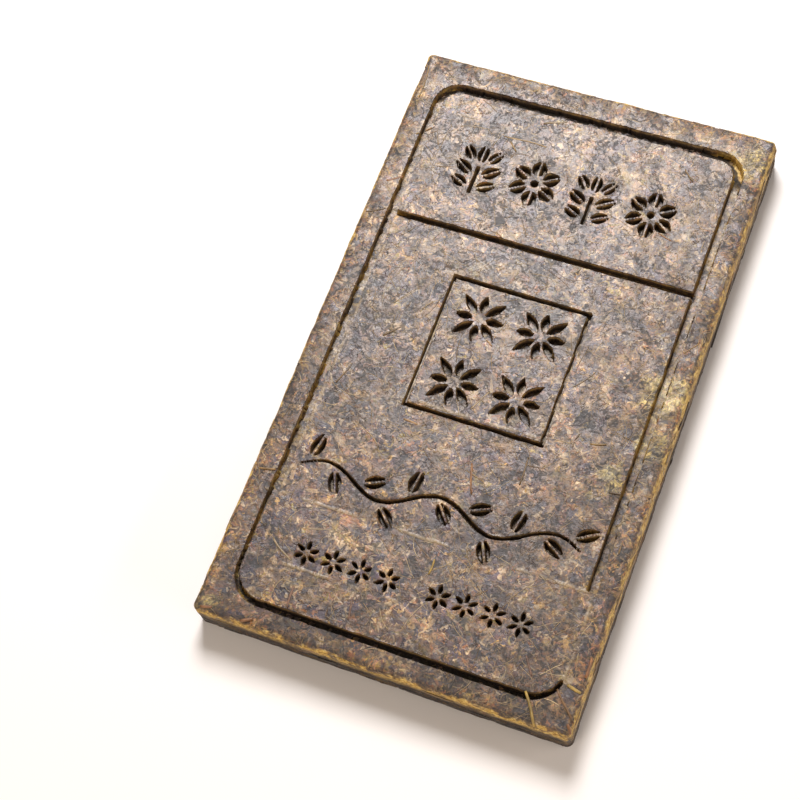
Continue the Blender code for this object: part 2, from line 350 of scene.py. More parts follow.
# The stage. Lights: name, place, what they point at, size in metres, power and colour
CAMERA_AIM = Vector((-33.9, -27.6, 20.0)) * MM
CAMERA_DISTANCE = 817.1 * MM
CAMERA_AZIMUTH = math.radians(37.61)
CAMERA_ELEVATION = math.radians(65.95)
CAMERA_ROLL = math.radians(-18.04)
CAMERA_LENS = 83.64
CAMERA_SENSOR = 36.0
LIGHTS = (
    ("sheen", (-0.24, 0.64, 0.95), (0, 0.05, 0), (0.42, 0.5), 17.6, (1.0, 0.95, 0.93)),
    ("front", (-0.2, -1.2, 0.6), (0, 0, 0), (1.3, 0.2), 9.0, (1.0, 0.82, 0.66)),
    ("right", (1.2, 0.0, 0.5), (0, 0, 0), (1.3, 0.2), 8.0, (1.0, 0.86, 0.76)),
)
WORLD_COLOUR = (1.0, 0.93, 0.9, 1.0)
WORLD_STRENGTH = 0.09
FLOOR_SIZE = 8.0


# ---- The carved outlines ----


def rectangle(left, right, bottom, top):
    """The four corners of an upright rectangle."""
    return [(left, bottom), (right, bottom), (right, top), (left, top)]


def turned(points, angle, centre):
    """Points turned by an angle in radians about the origin, then moved to a centre."""
    cosine = math.cos(angle)
    sine = math.sin(angle)
    return [
        (centre[0] + x * cosine - y * sine, centre[1] + x * sine + y * cosine)
        for x, y in points
    ]


def half_width(along, width):
    """Half the width of a leaf at this share of its length, widest a little before its middle."""
    return 0.5 * width * math.sin(math.pi * along**0.85)


def plain_leaf(base, tip, width):
    """The outline of a leaf from its base to its tip."""
    steps = [number / 9 for number in range(1, 9)]
    length = math.dist(base, tip)
    right = [(length * s, -half_width(s, width)) for s in steps]
    left = [(length * s, half_width(s, width)) for s in reversed(steps)]
    angle = math.atan2(tip[1] - base[1], tip[0] - base[0])
    return [turned([(0.0, 0.0)] + right + [(length, 0.0)] + left, angle, base)]


def ribbed_leaf(base, tip, width):
    """The outlines of a leaf's two halves, with a standing rib between them."""
    steps = [0.1 + 0.1 * number for number in range(9)]
    length = math.dist(base, tip)
    angle = math.atan2(tip[1] - base[1], tip[0] - base[0])
    halves = []
    for side in (-1, 1):
        rib = [(length * 0.95, side * RIB / 2), (length * 0.05, side * RIB / 2)]
        edge = [(length * s, side * max(half_width(s, width), 0.8 * RIB)) for s in steps]
        halves.append(turned(edge + rib, angle, base))
    return halves


def petals(centre, leaf, count, start, inner, outer, width):
    """Leaves that point outward all round a centre."""
    outlines = []
    for number in range(count):
        angle = math.radians(start + 360.0 * number / count)
        ends = [
            (centre[0] + radius * math.cos(angle), centre[1] + radius * math.sin(angle))
            for radius in (inner, outer)
        ]
        outlines += leaf(*ends, width)
    return outlines


def sprig(centre):
    """A stem with three pairs of ribbed leaves and a bud."""
    x, y = centre
    half = SPRIG_STEM / 2
    outlines = [rectangle(x - half, x + half, y + SPRIG_FOOT, y + SPRIG_NECK)]
    for side, (base, tip, width) in itertools.product((-1, 1), SPRIG_LEAVES):
        ends = [(x + side * across, y + up) for across, up in (base, tip)]
        outlines += ribbed_leaf(*ends, width)
    low, high, width = SPRIG_BUD
    return outlines + ribbed_leaf((x, y + low), (x, y + high), width)


def blossom(centre):
    """A flower with ribbed petals round a button."""
    angles = [number * math.pi / 6 for number in range(12)]
    button = [(BLOSSOM_BUTTON * math.cos(a), BLOSSOM_BUTTON * math.sin(a)) for a in angles]
    return [turned(button, 0.0, centre)] + petals(centre, ribbed_leaf, *BLOSSOM_PETALS)


def star(centre):
    """A flower with eight narrow petals, long ones towards the corners."""
    long_petals = petals(centre, plain_leaf, *STAR_LONG_PETALS)
    return long_petals + petals(centre, plain_leaf, *STAR_SHORT_PETALS)


def vine_height(x):
    """The height of the vine's stem at a place across the brick."""
    share = (x - VINE_LEFT) / (VINE_RIGHT - VINE_LEFT)
    return VINE_Y + VINE_SWING * math.sin(2 * math.pi * VINE_WAVES * share)


def vine_frame(share):
    """The stem's point, direction and normal at this share of its run."""
    x = VINE_LEFT + (VINE_RIGHT - VINE_LEFT) * share
    run = Vector((0.02, vine_height(x + 0.01) - vine_height(x - 0.01))).normalized()
    return Vector((x, vine_height(x))), run, Vector((-run.y, run.x))


def vine():
    """The waving stem, tapered to both ends, and its leaves, by turns above and below it."""
    upper = []
    lower = []
    for step in range(VINE_STEPS + 1):
        share = step / VINE_STEPS
        point, _, normal = vine_frame(share)
        reach = 0.5 * VINE_STEM * (0.25 + 0.75 * math.sin(math.pi * share) ** 0.4)
        upper.append(tuple(point + normal * reach))
        lower.append(tuple(point - normal * reach))
    outlines = [lower + upper[::-1]]
    for number in range(VINE_LEAVES):
        side = 1 if number % 2 == 0 else -1
        point, run, normal = vine_frame((number + 0.45) / VINE_LEAVES)
        base = point + normal * side * VINE_LEAF_GAP
        tip = base + (run * VINE_LEAN + normal * side).normalized() * VINE_LEAF
        outlines += ribbed_leaf(tuple(base), tuple(tip), VINE_LEAF_WIDTH)
    return outlines


def ornament():
    """Every outline of the leaf ornaments."""
    outlines = vine()
    for number, x in enumerate(TOP_ROW_X):
        outlines += (sprig if number % 2 == 0 else blossom)((x, TOP_ROW_Y))
    for centre in itertools.product(STARS_X, STARS_Y):
        outlines += star(centre)
    for x in SMALL_ROW_X:
        outlines += petals((x, SMALL_ROW_Y), plain_leaf, *SMALL_PETALS)
    return [np.array(outline) for outline in outlines]


# ---- Noise and distance ----


def chance(cells, seed):
    """A repeatable number from 0 to 1 for each row of whole numbers."""
    mixed = np.full(len(cells), seed * 2654435761 & 0xFFFFFFFF, np.uint64)
    for column, prime in zip(cells.T, (73856093, 19349663, 83492791)):
        mixed ^= (column.astype(np.int64) * prime & 0xFFFFFFFF).astype(np.uint64)
        mixed = (mixed ^ (mixed >> np.uint64(15))) * np.uint64(2246822519) & np.uint64(0xFFFFFFFF)
        mixed = (mixed ^ (mixed >> np.uint64(13))) * np.uint64(3266489917) & np.uint64(0xFFFFFFFF)
    return (mixed ^ (mixed >> np.uint64(16))).astype(float) / 0xFFFFFFFF


def noise(points, size, seed):
    """Smooth noise from -1 to 1, its lumps about this size; size is one number or one for each axis."""
    cells = points / size
    base = np.floor(cells)
    share = cells - base
    ease = share * share * (3 - 2 * share)
    total = np.zeros(len(points))
    for corner in itertools.product((0, 1), repeat=points.shape[1]):
        weight = np.where(corner, ease, 1 - ease).prod(axis=1)
        total += weight * chance(base + corner, seed)
    return 2 * total - 1


def lumps(points, layers):
    """The sum of some layers of noise, in millimetres."""
    return sum(noise(points, size, seed) * height for size, height, seed in layers)


def box_distance(points, left, right, bottom, top, radius=0.0):
    """Signed distance to a box with rounded corners, negative inside."""
    centre = np.array([(left + right) / 2, (bottom + top) / 2])
    half = np.array([(right - left) / 2, (top - bottom) / 2])
    over = np.abs(points - centre) - half + np.reshape(radius, (-1, 1))
    outside = np.hypot(*np.maximum(over, 0).T)
    return outside + np.minimum(over.max(axis=1), 0) - np.ravel(radius)


def frame_line(points):
    """Signed distance to the frame line, which is narrower below the gap in its right side."""
    x, y = points.T
    outer = np.where(y > 0, FRAME_TOP_RADIUS, FRAME_BOTTOM_RADIUS)
    line = box_distance(points, FRAME_LEFT, FRAME_RIGHT, FRAME_BOTTOM, FRAME_TOP, outer)
    upper = (FRAME_LEFT + FRAME_LINE, FRAME_RIGHT - FRAME_LINE, GAP_TOP, FRAME_TOP - FRAME_LINE)
    inside = box_distance(points, *upper, np.where(y > 0, FRAME_TOP_RADIUS - FRAME_LINE, 0.0))
    lower = (FRAME_LEFT + NARROW_LINE, FRAME_RIGHT - END_LINE, FRAME_BOTTOM + BOTTOM_LINE, GAP_TOP + 0.1)
    turn = FRAME_BOTTOM_RADIUS - (BOTTOM_LINE + np.where(x < 0, NARROW_LINE, END_LINE)) / 2
    inside = np.minimum(inside, box_distance(points, *lower, np.where(y < GAP_TOP - turn, turn, 0.0)))
    gap = box_distance(points, FRAME_RIGHT - FRAME_LINE - 1.0, FRAME_RIGHT + 1.0, GAP_BOTTOM, GAP_TOP)
    return np.maximum(line, np.maximum(-inside, -gap))


def square_sides(points):
    """Signed distance to the square's two upright sides."""
    left = SQUARE_LEFT - SQUARE_SIDE_OUT
    right = SQUARE_RIGHT + SQUARE_SIDE_OUT
    sides = [
        box_distance(points, start, start + SQUARE_SIDE_LINE, SQUARE_BOTTOM, SQUARE_TOP)
        for start in (left, right - SQUARE_SIDE_LINE)
    ]
    return np.minimum(*sides)


def ruled_lines(points):
    """Signed distance to the frame line, the cross line and the square."""
    half = CROSS_LINE / 2
    middle = FRAME_LINE / 2
    across = (FRAME_LEFT + middle, FRAME_RIGHT - middle, CROSS_LINE_Y - half, CROSS_LINE_Y + half)
    line = np.minimum(frame_line(points), box_distance(points, *across))
    for bottom in (SQUARE_BOTTOM, SQUARE_TOP - SQUARE_LINE):
        level = box_distance(points, SQUARE_LEFT, SQUARE_RIGHT, bottom, bottom + SQUARE_LINE)
        line = np.minimum(line, level)
    return np.minimum(line, square_sides(points))


def outline_distance(points, outlines, reach=2.5):
    """Signed distance to closed outlines, negative inside, right to within this reach of them."""
    nearest = np.full(len(points), FAR)
    for corners in outlines:
        low = corners.min(axis=0) - reach
        high = corners.max(axis=0) + reach
        near = np.flatnonzero(((points > low) & (points < high)).all(axis=1))
        here = points[near]
        distance = np.full(len(near), FAR)
        inside = np.zeros(len(near), bool)
        for start, end in zip(corners, np.roll(corners, -1, axis=0)):
            edge = end - start
            share = np.clip((here - start) @ edge / (edge @ edge), 0, 1)
            away = here - start - share[:, None] * edge
            distance = np.minimum(distance, np.hypot(*away.T))
            rise = edge[1] if edge[1] else 1e-9
            crossing = start[0] + (here[:, 1] - start[1]) * edge[0] / rise
            inside ^= ((start[1] > here[:, 1]) != (end[1] > here[:, 1])) & (here[:, 0] < crossing)
        nearest[near] = np.minimum(nearest[near], np.where(inside, -distance, distance))
    return nearest


ORNAMENT = ornament()


def carving(points):
    """Signed distance to the carving's slightly ragged edge, negative inside it."""
    moved = points + np.stack([lumps(points, layers) for layers in RAGGED_EDGES], 1)
    return np.minimum(ruled_lines(moved), outline_distance(moved, ORNAMENT)) + CARVING_TRIM


# ---- Heights ----


def smooth(share):
    """An even step from 0 to 1."""
    share = np.clip(share, 0, 1)
    return share * share * (3 - 2 * share)


def face_height(points, distance):
    """The face's height, given the distance to the carving."""
    along = (points[:, 1] > SQUARE_BOTTOM + SQUARE_LINE) & (points[:, 1] < SQUARE_TOP - SQUARE_LINE)
    shallow = along & (square_sides(points) < SQUARE_SIDE_REACH)
    depth = np.where(shallow, SQUARE_SIDE_DEPTH, CARVING_DEPTH) + lumps(points, FLOOR_SWELL)
    return THICKNESS + lumps(points, FACE_SWELL) - depth * smooth(-distance / WALL_RUN)


def groove_depth(points):
    """How deep the reverse's grooves are at each point."""
    depth = np.zeros(len(points))
    sizes = ((WIDTH, COLUMNS), (LENGTH, ROWS))
    for axis, (size, count) in enumerate(sizes):
        pitch = size / count
        place = points[:, axis] + size / 2
        number = np.clip(np.round(place / pitch), 1, count - 1)
        across = (GROOVE_MOUTH / 2 - np.abs(place - number * pitch)) / GROOVE_SLOPE
        end = sizes[1 - axis][0] / 2 - GROOVE_END_RIM - np.abs(points[:, 1 - axis])
        depth = np.maximum(depth, np.minimum(across, end / GROOVE_SLOPE))
    return np.clip(depth, 0, GROOVE_DEPTH)


# ---- The body ----


def grid_lines(size, count):
    """Lines across one way of the slab: through every edge of the grooves, and close at its ends."""
    bend = FACE_EDGE * (1 - np.cos(np.linspace(0, math.pi / 2, 5)))
    marks = list(-size / 2 + bend) + list(size / 2 - bend)
    for number in range(1, count):
        middle = -size / 2 + number * size / count
        for half in (GROOVE_MOUTH / 2, GROOVE_FLOOR / 2):
            marks += [middle - half, middle + half]
    marks = sorted(marks)
    lines = [marks[0]]
    for mark in marks[1:]:
        steps = max(1, math.ceil((mark - lines[-1]) / GRID_STEP - 1e-6))
        lines += list(np.linspace(lines[-1], mark, steps + 1)[1:])
    return np.array(lines)


def round_corners(points):
    """Points of the square-cornered plan moved onto the plan with round corners."""
    corner = np.array([WIDTH / 2, LENGTH / 2]) - CORNER_RADIUS
    over = np.abs(points) - corner
    both = (over > 0).all(axis=1)
    reach = over[both]
    length = np.hypot(*reach.T)
    bent = corner + reach * (reach.max(axis=1) / np.maximum(length, 1e-9))[:, None]
    moved = points.copy()
    moved[both] = np.sign(points[both]) * bent
    return moved


def edge_fall(inside):
    """How far the face's rounded edge has fallen, this far inside the slab's outline."""
    gap = np.clip(FACE_EDGE - inside, 0, FACE_EDGE)
    return FACE_EDGE - np.sqrt(FACE_EDGE**2 - gap**2)


def edge_distance(points):
    """How far points of the square-cornered plan are inside its edge."""
    return (np.array([WIDTH / 2, LENGTH / 2]) - np.abs(points)).min(axis=1)


def fine_grid(xs, ys):
    """A plan's points and faces: cells near the carving are quartered, their neighbours share the points."""
    dense = [np.sort(np.concatenate([lines, (lines[1:] + lines[:-1]) / 2])) for lines in (xs, ys)]
    plan = np.stack(np.meshgrid(*dense, indexing="ij"), axis=-1)
    middles = plan[1::2, 1::2]
    near = np.abs(carving(middles.reshape(-1, 2))) < FINE_REACH
    fine = near.reshape(middles.shape[:2])
    used = np.zeros(plan.shape[:2], bool)
    used[::2, ::2] = True
    used[1::2, 1::2] = fine
    for ahead in (0, 1):
        used[1::2, ::2][:, ahead : ahead + fine.shape[1]] |= fine
        used[::2, 1::2][ahead : ahead + fine.shape[0], :] |= fine
    number = np.full(used.shape, -1)
    number[used] = np.arange(used.sum())
    ring = ((0, 0), (1, 0), (2, 0), (2, 1), (2, 2), (1, 2), (0, 2), (0, 1))
    faces = []
    for i, j in np.argwhere(~fine):
        loop = [number[2 * i + a, 2 * j + b] for a, b in ring]
        faces.append([index for index in loop if index >= 0])
    for i, j in np.argwhere(fine):
        for a, b in ((0, 0), (1, 0), (1, 1), (0, 1)):
            u = 2 * i + a
            v = 2 * j + b
            faces.append([number[u, v], number[u + 1, v], number[u + 1, v + 1], number[u, v + 1]])
    return plan[used], faces, number[::2, ::2]


def snapped(points):
    """Points near the carving's edge moved onto it, so that its rim runs clean."""
    distance = carving(points)
    step = 0.05
    slope = np.stack([carving(points + shift) - distance for shift in ((step, 0), (0, step))], 1) / step
    close = np.abs(distance) < SNAP_REACH
    moved = points.copy()
    moved[close] -= (distance[:, None] * slope)[close]
    distance[close] = 0.0
    return moved, distance


def border(number):
    """The outermost ring of a grid of vertex numbers, in order round it."""
    return np.concatenate([number[:-1, 0], number[-1, :-1], number[:0:-1, -1], number[0, :0:-1]])


def body_mesh():
    """The closed body: its points in millimetres, its faces, and each point's share of carving and edge."""
    xs = grid_lines(WIDTH, COLUMNS)
    ys = grid_lines(LENGTH, ROWS)
    plan, faces, top_number = fine_grid(xs, ys)
    inner = edge_distance(plan) > PLAIN_EDGE
    distance = np.full(len(plan), FAR)
    plan[inner], distance[inner] = snapped(plan[inner])
    inside = edge_distance(plan)
    top = np.column_stack([round_corners(plan), face_height(plan, distance) - edge_fall(inside)])

    under_plan = np.stack(np.meshgrid(xs, ys, indexing="ij"), axis=-1).reshape(-1, 2)
    under_inside = edge_distance(under_plan)
    rise = REVERSE_EDGE * np.clip(1 - under_inside / REVERSE_EDGE, 0, 1)
    under = np.column_stack([round_corners(under_plan), groove_depth(under_plan) + REVERSE_LIFT + rise])
    number = len(top) + np.arange(len(under)).reshape(len(xs), len(ys))
    for i, j in itertools.product(range(len(xs) - 1), range(len(ys) - 1)):
        faces.append([number[i, j], number[i, j + 1], number[i + 1, j + 1], number[i + 1, j]])

    upper = border(top_number)
    lower = border(number)
    rows = round((THICKNESS - FACE_EDGE - REVERSE_EDGE) / SIDE_STEP)
    count = len(top) + len(under)
    rings = [upper] + [count + row * len(upper) + np.arange(len(upper)) for row in range(rows - 1)] + [lower]
    for previous, current in zip(rings, rings[1:]):
        for a, b, c, d in zip(previous, current, np.roll(current, -1), np.roll(previous, -1)):
            faces.append([a, b, c, d])
    shares = [row / rows for row in range(1, rows)]
    sides = [top[upper] * (1 - share) + under[lower - len(top)] * share for share in shares]
    sides = np.concatenate(sides)
    carved = np.zeros(count + len(sides))
    carved[: len(top)] = smooth(-distance / WALL_RUN)
    on_sides = (np.abs(sides[:, 2] - SIDE_MIDDLE) - SIDE_PLAIN) / SIDE_PLAIN
    rim = smooth(np.concatenate([1 - inside / FACE_RIM, 1 - under_inside / REVERSE_RIM, on_sides]))
    return np.concatenate([top, under, sides]), faces, carved, rim


def mesh_object(name, points, faces, attributes, material):
    """A smooth-shaded mesh of points in millimetres, with some numbers or vectors for each point."""
    mesh = bpy.data.meshes.new(name)
    mesh.from_pydata((points * MM).tolist(), [], faces)
    mesh.update()
    for label, values in attributes.items():
        kind, field = ("FLOAT", "value") if values.ndim == 1 else ("FLOAT_VECTOR", "vector")
        store = mesh.attributes.new(label, kind, "POINT")
        store.data.foreach_set(field, values.astype(np.float32).ravel())
    mesh.shade_smooth()
    mesh.materials.append(material)
    piece = bpy.data.objects.new(name, mesh)
    bpy.context.scene.collection.objects.link(piece)
    return piece


def facets(points, size, seed):
    """Pressed leaves as tilted patches: the height of each point, from about -1 to 1."""
    stretch = np.array([size, size, size * PATCH_FLATNESS])
    bent = points + np.stack([noise(points, size * 0.6, seed + k) for k in range(3)], 1) * size * 0.22
    cells = bent / stretch
    base = np.floor(cells)
    best = np.full(len(points), FAR)
    height = np.zeros(len(points))
    for shift in itertools.product((-1, 0, 1), repeat=3):
        cell = base + shift
        seat = cell + np.stack([chance(cell, seed + 20 + k) for k in range(3)], 1)
        away = cells - seat
        turn = chance(cell, seed + 30) * math.pi
        along = away[:, 0] * np.cos(turn) + away[:, 1] * np.sin(turn)
        across = away[:, 1] * np.cos(turn) - away[:, 0] * np.sin(turn)
        gap = along**2 * PATCH_ALONG + across**2 * PATCH_ACROSS + away[:, 2] ** 2
        closer = gap < best
        tilt = chance(cell, seed + 31) * 2 * math.pi
        level = chance(cell, seed + 32) * 1.2 - 0.6
        slope = away[:, 0] * np.cos(tilt) + away[:, 1] * np.sin(tilt)
        best = np.where(closer, gap, best)
        height = np.where(closer, level + slope, height)
    return height


def read_vectors(items, name):
    """One vector for each vertex or face of a mesh."""
    values = np.empty(len(items) * 3, np.float32)
    items.foreach_get(name, values)
    return values.reshape(-1, 3)


def pressed_body(material):
    """The closed body, its surface roughened with patches, creases and lumps."""
    points, faces, carved, rim = body_mesh()
    piece = mesh_object("pressed_body", points, faces, {"carved": carved}, material)
    mesh = piece.data
    normals = read_vectors(mesh.vertices, "normal")
    flat = np.abs(normals[:, 2]) ** 2
    patches = sum(facets(points, size, seed) * height for size, height, seed in PATCHES)
    push = flat * (patches + lumps(points, FINE_LUMPS)) * (1 - CARVED_CALM * carved)
    push += (1 - flat) * (1 - carved) * lumps(points, SIDE_LAYERS)
    push += rim * (lumps(points, EDGE_WEAR) - EDGE_LOSS)
    points = points + normals * push[:, None]
    points[:, 2] = np.maximum(points[:, 2], LOWEST_POINT)
    mesh.vertices.foreach_set("co", (points * MM).astype(np.float32).ravel())
    mesh.update()
    steep = 1 - np.abs(read_vectors(mesh.polygons, "normal")[:, 2])
    mesh.attributes.new("steep", "FLOAT", "FACE").data.foreach_set("value", steep)
    mesh.set_sharp_from_angle(angle=CREASE)
    return piece


# ---- Leaves, fibres and stalks on the surface ----
# A surface gives its points over a plan, which way is out, and how much room there is to its edge.


def inside_plan(points):
    """How far plan points are inside the slab's rounded outline."""
    return -box_distance(points, -WIDTH / 2, WIDTH / 2, -LENGTH / 2, LENGTH / 2, CORNER_RADIUS)


def face_surface(points):
    """The carved face; a leaf has no room on the floor of the bare corner."""
    inside = inside_plan(points)
    distance = carving(points)
    height = face_height(points, distance) - edge_fall(inside)
    bare = (distance < 0) & (points > np.array(BARE_CORNER)).all(axis=1)
    return np.column_stack([points, height]), UP, np.where(bare, -1.0, inside)


def level_surface(points):
    """The face as it would be without its carving, for a stalk that bridges it."""
    inside = inside_plan(points)
    height = THICKNESS + lumps(points, FACE_SWELL) - edge_fall(inside)
    return np.column_stack([points, height]), UP, inside


def reverse_surface(points):
    """The grooved reverse."""
    height = groove_depth(points) + REVERSE_LIFT
    return np.column_stack([points, height]), DOWN, inside_plan(points)


def side_surface(points):
    """The sides: a point is its way along the outline and its height."""
    straight = np.array([WIDTH, LENGTH, WIDTH, LENGTH]) - 2 * CORNER_RADIUS
    starts = np.append(0, np.cumsum(straight + CORNER_RADIUS * math.pi / 2))
    place = np.mod(points[:, 0], starts[-1])
    side = np.searchsorted(starts, place, side="right") - 1
    along = place - starts[side]
    turn = np.maximum(along - straight[side], 0)[:, None] / CORNER_RADIUS
    angle = (side - 1) * math.pi / 2
    normal = np.stack([np.cos(angle), np.sin(angle)], 1)
    run = np.stack([-normal[:, 1], normal[:, 0]], 1)
    reach = np.abs(normal * [WIDTH / 2, LENGTH / 2]).sum(axis=1) - CORNER_RADIUS
    along = np.minimum(along, straight[side]) - straight[side] / 2
    bent = np.cos(turn) * normal + np.sin(turn) * run
    plan = normal * reach[:, None] + run * along[:, None] + CORNER_RADIUS * bent
    out = np.column_stack([bent, np.zeros(len(points))])
    height = points[:, 1]
    pull = edge_fall(THICKNESS - height) + SIDE_SINK
    return np.column_stack([plan, height]) - out * pull[:, None], out, np.minimum(height, THICKNESS - height)


def seats(low, high, step, rng):
    """Points spread evenly over a rectangle, each a little off its place in a grid."""
    low = np.array(low)
    high = np.array(high)
    counts = np.maximum(np.round((high - low) / step).astype(int), 1)
    grid = np.stack(np.meshgrid(*(np.arange(count) for count in counts), indexing="ij"), -1).reshape(-1, 2)
    return low + (grid + rng.uniform(0, 1, grid.shape)) * (high - low) / counts


def room_for_leaves(surface, centres, radius, ways):
    """What share of its radius each leaf can have each way before a crease, a carved edge or the edge."""
    seat = surface(centres)[0]
    slopes = []
    for way in np.eye(2) * SLOPE_REACH:
        slopes.append((surface(centres + way)[0] - surface(centres - way)[0]) / (2 * SLOPE_REACH))
    limit = np.zeros(radius.shape)
    free = np.ones(radius.shape, bool)
    for share in np.linspace(0.1, 1.0, 10):
        shift = ways * (radius * share)[..., None]
        reached, _, room = surface((centres[:, None] + shift).reshape(-1, 2))
        level = seat[:, None] + shift[..., :1] * slopes[0][:, None] + shift[..., 1:] * slopes[1][:, None]
        step = np.linalg.norm(reached.reshape(*radius.shape, 3) - level, axis=-1)
        free &= (step < LEAF_STAND_OFF) & (room.reshape(radius.shape) > OFF_EDGE)
        limit[free] = share
    return limit


def copies(pattern, count, per):
    """The faces of this many like shapes, each with its own run of vertices."""
    return [[base + index for index in loop] for base in range(0, count * per, per) for loop in pattern]


def leaf_pieces(name, surface, centres, lengths, widths, angles, material, rng, lift, tints=None):
    """Thin leaves pressed into the surface, each a closed scale."""
    sides = LEAF_SIDES
    theta = 2 * math.pi * np.arange(sides) / sides
    radius = 1 / np.hypot(np.cos(theta) / lengths[:, None] * 2, np.sin(theta) / widths[:, None] * 2)
    radius *= 1 + LEAF_RAGGED * rng.uniform(-1, 1, radius.shape)
    ways = np.stack([np.cos(theta + angles[:, None]), np.sin(theta + angles[:, None])], -1)
    limit = room_for_leaves(surface, centres, radius, ways)
    radius *= limit
    kept = (limit.min(axis=1) > LEAF_LEAST_SHARE) & (radius.max(axis=1) > LEAF_LEAST)
    centres, radius, ways = centres[kept], radius[kept], ways[kept]
    count = len(centres)
    tint = rng.uniform(0, 1, (count, 1)) if tints is None else np.array(tints)[kept][:, None]
    tilt = rng.uniform(-1, 1, (count, 2, 1)) * np.array(LEAF_TILT)
    level = rng.uniform(0.0, LEAF_LEVELS, (count, 1))
    level = lift * (level + 2 * (rng.uniform(0, 1, (count, 1)) > HIGH_LEAVES))
    ground = rng.uniform(0.0, GROUND_SPREAD, (count, 1))
    rings = []
    places = []
    for share, drop in LEAF_RINGS:
        reach = radius * share
        spot, out, _ = surface((centres[:, None] + ways * reach[..., None]).reshape(-1, 2))
        u = reach * np.cos(theta)
        v = reach * np.sin(theta)
        raised = level + tilt[:, 0] * u + tilt[:, 1] * v - drop
        spot = (spot + np.broadcast_to(out, spot.shape) * raised.reshape(-1, 1)).reshape(count, sides, 3)
        spot[..., 2] = np.maximum(spot[..., 2], ground)
        first = slice(0, 1) if share == 0 else slice(None)
        rings.append(spot[:, first])
        places.append(np.stack([u, v, np.broadcast_to(tint * TINT_SPREAD, u.shape)], -1)[:, first])
    points = np.concatenate(rings, axis=1)
    per = points.shape[1]
    around = [(a, (a + 1) % sides) for a in range(sides)]
    pattern = [[0, 1 + a, 1 + b] for a, b in around]
    pattern += [[1 + a, 1 + sides + a, 1 + sides + b, 1 + b] for a, b in around]
    pattern.append([1 + sides + a for a in reversed(range(sides))])
    attributes = {
        "tint": np.repeat(tint, per),
        "local": np.concatenate(places, axis=1).reshape(-1, 3),
        "outer": np.tile(np.arange(per) > 0, count).astype(float),
    }
    piece = mesh_object(name, points.reshape(-1, 3), copies(pattern, count, per), attributes, material)
    piece.data.set_sharp_from_angle(angle=LEAF_CREASE)
    return piece


def run_of(starts, headings, bends, waves, lengths, steps, sway):
    """The points of curved paths over a plan."""
    share = np.linspace(0, 1, 4 * (steps - 1) + 1)
    along = lengths[:, None] * share
    angle = headings[:, None] + bends[:, None] * along + sway * np.sin(along / SWAY_LENGTH + waves[:, None])
    step = lengths[:, None] / (len(share) - 1)
    x = np.cumsum(np.cos(angle) * step, axis=1)
    y = np.cumsum(np.sin(angle) * step, axis=1)
    path = starts[:, None] + np.stack([x, y], -1)
    return path[:, ::4]


def strands(
    name, surface, starts, headings, lengths, widths, material, rng,
    bend, sway, rise, height=0.62, sides=3, tints=None,
):
    """Fibres or stalks that lie along the surface, half sunk in it, closed at both ends."""
    steps = STRAND_STEPS
    bends = rng.normal(0, bend, len(starts))
    waves = rng.uniform(0, 2 * math.pi, len(starts))
    tint = rng.uniform(0, 1, len(starts)) if tints is None else np.array(tints, float)
    last = STRAND_CHECKS - 1
    for _ in range(2):
        path = run_of(starts, headings, bends, waves, lengths, STRAND_CHECKS, sway)
        spots, _, room = surface(path.reshape(-1, 2))
        hops = np.linalg.norm(np.diff(spots.reshape(*path.shape[:2], 3), axis=1), axis=-1)
        broken = hops > lengths[:, None] / last * STRAND_STRETCH + STRAND_SLACK
        broken |= room.reshape(path.shape[:2])[:, 1:] < OFF_EDGE
        first = np.where(broken.any(axis=1), broken.argmax(axis=1), last)
        lengths = lengths * first / last
        kept = lengths > STRAND_LEAST
        starts, headings, bends, waves, lengths, widths, tint = (
            array[kept] for array in (starts, headings, bends, waves, lengths, widths, tint)
        )
    count = len(starts)
    path = run_of(starts, headings, bends, waves, lengths, steps, sway)
    spots, out, _ = surface(path.reshape(-1, 2))
    spots = spots.reshape(count, steps, 3)
    out = np.broadcast_to(out, (count * steps, 3)).reshape(count, steps, 3)
    ahead = np.gradient(spots, axis=1)
    ahead /= np.linalg.norm(ahead, axis=-1, keepdims=True)
    across = np.cross(out, ahead)
    across /= np.linalg.norm(across, axis=-1, keepdims=True)
    up = np.cross(ahead, across)
    share = np.linspace(0, 1, steps)
    ends = rng.uniform(*STRAND_ENDS, (2, count, 1)) * widths[:, None] * 0.5
    hump = rng.uniform(*STRAND_HUMP, (count, 1)) * rise
    level = ends[0] * (1 - share) + ends[1] * share + hump * np.sin(math.pi * share) ** 0.7
    middle = spots + out * level[..., None]
    taper = 0.55 + 0.45 * np.sin(math.pi * (0.08 + 0.84 * share)) ** 0.5
    thick = widths[:, None] * taper / 2
    angle = 2 * math.pi * np.arange(sides) / sides + math.pi / 2
    ring = across[:, :, None] * np.cos(angle)[:, None] + up[:, :, None] * (height * np.sin(angle))[:, None]
    points = middle[:, :, None] + ring * thick[:, :, None, None]
    points[..., 2] = np.maximum(points[..., 2], rng.uniform(0.0, GROUND_SPREAD, (count, 1, 1)))
    per = steps * sides
    pattern = []
    for low, a in itertools.product(range(0, per - sides, sides), range(sides)):
        b = (a + 1) % sides
        pattern.append([low + a, low + b, low + sides + b, low + sides + a])
    pattern.append(list(range(sides))[::-1])
    pattern.append(list(range(per - sides, per)))
    along = (lengths[:, None] * share)[:, :, None] + np.zeros(sides)
    around = np.broadcast_to(np.arange(sides) * widths[:, None, None], along.shape)
    depth = np.broadcast_to(tint[:, None, None] * TINT_SPREAD, along.shape)
    attributes = {"tint": np.repeat(tint, per), "local": np.stack([along, around, depth], -1).reshape(-1, 3)}
    return mesh_object(name, points.reshape(-1, 3), copies(pattern, count, per), attributes, material)


